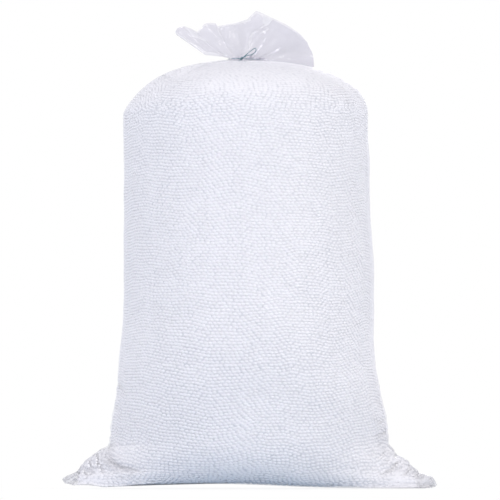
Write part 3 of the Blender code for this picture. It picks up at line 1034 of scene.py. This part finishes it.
def floor_material():
    """White to the camera; what it throws back at the bag is a darker blue-grey close by, which
    paints shade on the underside of the bag.
    """
    made, tree, shader, output = new_material("floor_pale")
    shader.inputs["Roughness"].default_value = 0.9
    shader.inputs["Specular IOR Level"].default_value = 0.0
    seen = add_node(tree, "ShaderNodeBsdfDiffuse")
    seen.inputs["Color"].default_value = (0.96, 0.96, 0.97, 1)
    glow = add_node(tree, "ShaderNodeEmission")
    glow.inputs["Strength"].default_value = 1.0
    place = add_node(tree, "ShaderNodeTexCoord")
    across = add_node(tree, "ShaderNodeVectorMath", operation="MULTIPLY")
    across.inputs[1].default_value = (1.8, 1.0, 1.0)
    length = add_node(tree, "ShaderNodeVectorMath", operation="LENGTH")
    far = add_node(tree, "ShaderNodeMixShader")
    rays = add_node(tree, "ShaderNodeLightPath")
    pick = add_node(tree, "ShaderNodeMixShader")
    link = tree.links.new
    link(place.outputs["Object"], across.inputs[0])
    link(across.outputs["Vector"], length.inputs[0])
    # Darker near the bag, for the painted shade on its underside
    away = ramp_value(tree, length.outputs["Value"], 0.15, 0.42, 0.0, 1.0)
    link(add_colours(tree, away, *FLOOR_SHADE_COLOURS), shader.inputs["Base Color"])
    link(ramp_value(tree, length.outputs["Value"], 0.25, 0.8, 0.82, 1.0), far.inputs["Fac"])
    link(seen.outputs["BSDF"], far.inputs[1])
    link(glow.outputs["Emission"], far.inputs[2])
    both = add_values(
        tree, rays.outputs["Is Camera Ray"], rays.outputs["Is Glossy Ray"], "MAXIMUM"
    )
    link(both, pick.inputs["Fac"])
    link(shader.outputs["BSDF"], pick.inputs[1])
    link(far.outputs["Shader"], pick.inputs[2])
    link(pick.outputs["Shader"], output.inputs["Surface"])
    return made


def make_floor():
    data = bpy.data.meshes.new("floor")
    size = 30
    data.from_pydata(
        [(-size, -size, 0), (size, -size, 0), (size, size, 0), (-size, size, 0)],
        [], [(0, 1, 2, 3)],
    )
    data.materials.append(floor_material())
    floor = bpy.data.objects.new("floor", data)
    floor.location.z = -0.0003
    bpy.context.scene.collection.objects.link(floor)


def make_world():
    """A light tent, a little brighter above, in front of a white backdrop."""
    world = bpy.data.worlds.new("studio")
    bpy.context.scene.world = world
    world.use_nodes = True
    tree = world.node_tree
    soft = tree.nodes["Background"]
    soft.inputs["Color"].default_value = (0.955, 0.955, 0.985, 1)
    place = add_node(tree, "ShaderNodeTexCoord")
    axes = add_node(tree, "ShaderNodeSeparateXYZ")
    white = add_node(tree, "ShaderNodeBackground")
    white.inputs["Color"].default_value = (1, 1, 1, 1)
    rays = add_node(tree, "ShaderNodeLightPath")
    pick = add_node(tree, "ShaderNodeMixShader")
    link = tree.links.new
    link(place.outputs["Generated"], axes.inputs["Vector"])
    link(ramp_value(tree, axes.outputs["Z"], 0.0, 1.0, 0.92, 1.0), soft.inputs["Strength"])
    seen = add_values(
        tree, rays.outputs["Is Camera Ray"], rays.outputs["Is Transmission Ray"], "MAXIMUM"
    )
    link(seen, pick.inputs["Fac"])
    link(soft.outputs["Background"], pick.inputs[1])
    link(white.outputs["Background"], pick.inputs[2])
    link(pick.outputs["Shader"], tree.nodes["World Output"].inputs["Surface"])


def add_light(name, place, aim, size, watts, colour):
    data = bpy.data.lights.new(name, "AREA")
    data.size = size
    data.energy = watts
    data.color = colour
    lamp = bpy.data.objects.new(name, data)
    lamp.location = place
    lamp.rotation_euler = (Vector(aim) - Vector(place)).to_track_quat("-Z", "Y").to_euler()
    bpy.context.scene.collection.objects.link(lamp)


def make_lights():
    add_light("key", (0.8, -4.6, 1.9), LAMP_AIM, 1.2, 29.2, (1.0, 0.97, 0.93))
    add_light("left", (-2.5, -3.4, 0.9), LAMP_AIM, 2.2, 22.2, (0.965, 0.95, 1.0))
    add_light("top", (-0.9, 0.5, 3.5), (0, 0, 0.5), 0.2, 1.6, (1.0, 0.99, 1.0))
    add_light("back", (0.6, 4.6, 1.8), LAMP_AIM, 1.6, 20, (1.0, 0.98, 0.97))
    add_light("right", (3.1, -2.8, 0.9), LAMP_AIM, 2.2, 23.5, (1.0, 0.93, 0.83))


def make_camera():
    data = bpy.data.cameras.new("camera")
    data.sensor_width = 36
    data.clip_end = 100
    data.lens = data.sensor_width * CAMERA_DISTANCE / SEEN_WIDTH
    camera = bpy.data.objects.new("camera", data)
    aim = Vector((CAMERA_X, 0.0, CAMERA_AIM))
    camera.location = (CAMERA_X, -CAMERA_DISTANCE, CAMERA_HEIGHT)
    camera.rotation_euler = (aim - camera.location).to_track_quat("-Z", "Y").to_euler()
    bpy.context.scene.collection.objects.link(camera)
    bpy.context.scene.camera = camera


def main():
    make_camera()
    make_beads(bead_material())
    make_core(core_material())
    make_film(film_material("film_skin", SKIN_LOOK))
    make_mouth(film_material("film_mouth", MOUTH_LOOK))
    make_tie(wire_material())
    make_floor()
    make_world()
    make_lights()
    scene = bpy.context.scene
    scene.view_settings.view_transform = "Standard"
    scene.cycles.transparent_max_bounces = 24


main()
